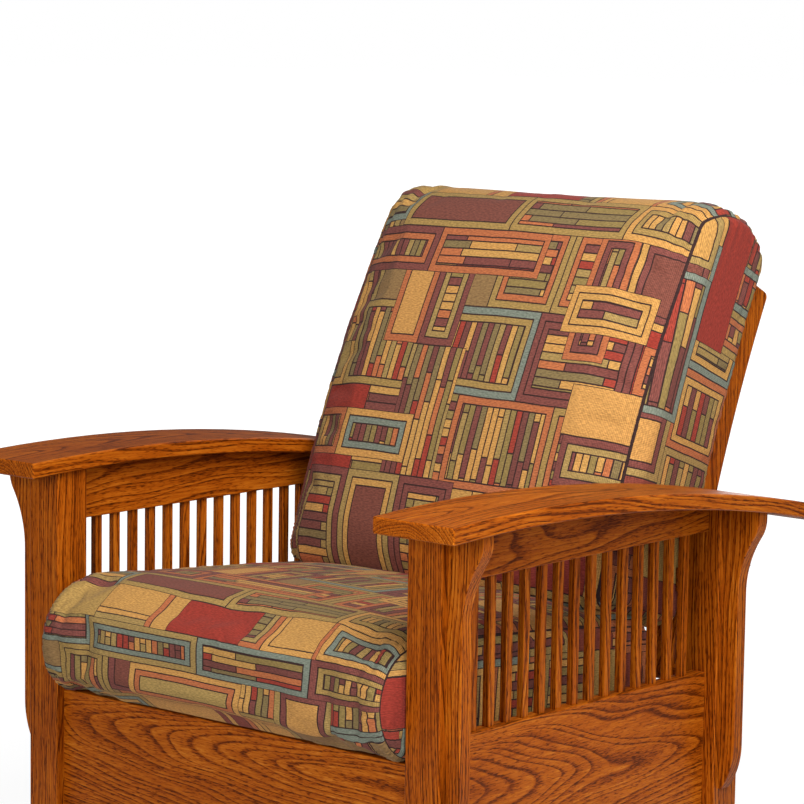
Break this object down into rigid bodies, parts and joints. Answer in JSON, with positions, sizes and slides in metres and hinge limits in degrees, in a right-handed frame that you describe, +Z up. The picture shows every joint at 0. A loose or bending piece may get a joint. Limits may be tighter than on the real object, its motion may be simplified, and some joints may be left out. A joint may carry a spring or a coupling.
{
  "type": "reclining armchair",
  "caption": "Mission-style reclining armchair with bowed arms on slatted sides and loose patterned cushions.",
  "frame": {"origin": "on the floor, at the middle of the chair's width and depth", "axes": "+X to the sitter's left, +Y to the rear, +Z up"},
  "size_m": [0.886, 0.884, 0.9598],
  "materials": {
    "oak": "stained red oak under satin lacquer",
    "plywood": "unfinished plywood",
    "tapestry": "jacquard tapestry in outlined rectangles"
  },
  "bodies": {
    "frame": {"front_post_left": "oak", "front_post_right": "oak", "rear_post_left": "oak", "rear_post_right": "oak", "arm_left": "oak", "arm_right": "oak", "front_corbel_left": "oak", "front_corbel_right": "oak", "rear_corbel_left": "oak", "rear_corbel_right": "oak", "top_rail_left": "oak", "top_rail_right": "oak", "side_panel_left": "oak", "side_panel_right": "oak", "side_slat_01_left": "oak", "side_slat_01_right": "oak", "side_slat_02_left": "oak", "side_slat_02_right": "oak", "side_slat_03_left": "oak", "side_slat_03_right": "oak", "side_slat_04_left": "oak", "side_slat_04_right": "oak", "side_slat_05_left": "oak", "side_slat_05_right": "oak", "side_slat_06_left": "oak", "side_slat_06_right": "oak", "side_slat_07_left": "oak", "side_slat_07_right": "oak", "side_slat_08_left": "oak", "side_slat_08_right": "oak", "side_slat_09_left": "oak", "side_slat_09_right": "oak", "side_slat_10_left": "oak", "side_slat_10_right": "oak", "side_slat_11_left": "oak", "side_slat_11_right": "oak", "side_slat_12_left": "oak", "side_slat_12_right": "oak", "side_slat_13_left": "oak", "side_slat_13_right": "oak", "side_slat_14_left": "oak", "side_slat_14_right": "oak", "seat_cleat_left": "oak", "seat_cleat_right": "oak", "back_pin_left": "oak", "back_pin_right": "oak", "bar_ledger_left": "oak", "bar_ledger_right": "oak", "front_panel": "oak", "rear_panel": "oak", "seat_deck": "plywood"},
    "back": {"back_post_left": "oak", "back_post_right": "oak", "back_bottom_rail": "oak", "back_slat_lower": "oak", "back_slat_upper": "oak", "back_top_rail": "oak"},
    "bar": {"support_bar": "oak"},
    "seat": {"seat_cushion": "tapestry"},
    "back_pad": {"back_cushion": "tapestry"}
  },
  "joints": [
    {"name": "back_recline", "type": "hinge", "parent": "frame", "child": "back", "pos_m": [0, 0.2375, 0.31], "axis": [-1, 0, 0], "range_deg": [0, 16]},
    {"name": "support_bar_swing", "type": "hinge", "parent": "frame", "child": "bar", "pos_m": [0, 0.33723, 0.40004], "axis": [-1, 0, 0], "range_deg": [0, 49.5]},
    {"name": "seat_cushion_pull", "type": "slide", "parent": "frame", "child": "seat", "axis": [0, -0.9962, 0.0872], "range_m": [0, 0.12]},
    {"name": "back_cushion_lift", "type": "slide", "parent": "back", "child": "back_pad", "axis": [0, 0, 1], "range_m": [0, 0.15]}
  ],
  "couplings": [
    {"joint": "support_bar_swing", "follows": "back_recline", "ratio": 3.0922}
  ]
}
